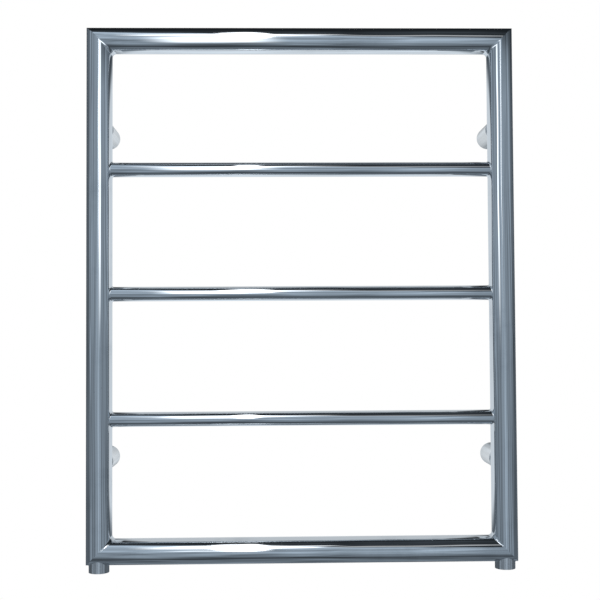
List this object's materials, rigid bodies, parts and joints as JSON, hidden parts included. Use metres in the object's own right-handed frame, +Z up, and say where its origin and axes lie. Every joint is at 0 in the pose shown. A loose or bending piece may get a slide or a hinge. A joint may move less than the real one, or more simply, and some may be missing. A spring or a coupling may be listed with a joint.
{
  "type": "towel warmer rack",
  "caption": "Wall-hung ladder towel warmer: mitred frame of round chromed tube with thinner rungs, water sockets below and adjustable stand-offs.",
  "frame": {"origin": "centre of the four wall fixings, on the wall plane", "axes": "+X to the right seen from the front, +Y into the wall, +Z up"},
  "size_m": [0.532, 0.096, 0.6725],
  "materials": {
    "frame_chrome": "mirror-polished chrome plate on steel tube",
    "rung_chrome": "mirror-polished chrome plate on steel tube",
    "socket_chrome": "polished chrome plate, turned sockets with a cut thread",
    "post_chrome": "polished chrome plate on turned bar",
    "sleeve_chrome": "polished chrome plate on turned sleeves",
    "base_zinc": "zinc-plated turned steel",
    "grub_steel": "stainless socket screws",
    "vent_chrome": "chrome plate on turned brass",
    "screw_brass": "turned brass",
    "seal_rubber": "matt black rubber",
    "spout_plastic": "white moulded plastic"
  },
  "bodies": {
    "wall_brackets": {"top_left_sleeve": "sleeve_chrome", "top_right_sleeve": "sleeve_chrome", "bottom_left_sleeve": "sleeve_chrome", "bottom_right_sleeve": "sleeve_chrome", "top_left_wall_base": "base_zinc", "top_right_wall_base": "base_zinc", "bottom_left_wall_base": "base_zinc", "bottom_right_wall_base": "base_zinc", "sleeve_grub_screws": "grub_steel", "post_grub_screws": "grub_steel"},
    "rail": {"left_upright": "frame_chrome", "right_upright": "frame_chrome", "top_rail": "frame_chrome", "bottom_rail": "frame_chrome", "top_rung": "rung_chrome", "middle_rung": "rung_chrome", "bottom_rung": "rung_chrome", "left_water_socket": "socket_chrome", "right_water_socket": "socket_chrome", "top_left_post": "post_chrome", "top_right_post": "post_chrome", "bottom_left_post": "post_chrome", "bottom_right_post": "post_chrome", "vent_boss": "socket_chrome", "vent_plug": "vent_chrome", "vent_washer": "seal_rubber"},
    "spout": {"vent_spout": "spout_plastic"},
    "vent_seal": {"vent_o_ring": "seal_rubber"},
    "vent_key": {"vent_screw": "screw_brass"}
  },
  "joints": [
    {"name": "stand_off_slide", "type": "slide", "parent": "wall_brackets", "child": "rail", "axis": [0, -1, 0], "range_m": [-0.002, 0.02]},
    {"name": "spout_swivel", "type": "hinge", "parent": "rail", "child": "spout", "pos_m": [-0.25, -0.0505, 0.276], "axis": [0, 1, 0], "continuous": true},
    {"name": "vent_lift", "type": "slide", "parent": "rail", "child": "vent_seal", "axis": [0, 1, 0], "range_m": [0, 0.0015]},
    {"name": "vent_turn", "type": "hinge", "parent": "vent_seal", "child": "vent_key", "pos_m": [-0.25, -0.05, 0.276], "axis": [0, 1, 0], "range_deg": [0, 540]}
  ],
  "couplings": [
    {"joint": "vent_turn", "follows": "vent_lift", "rad_per_m": 6283.2}
  ]
}
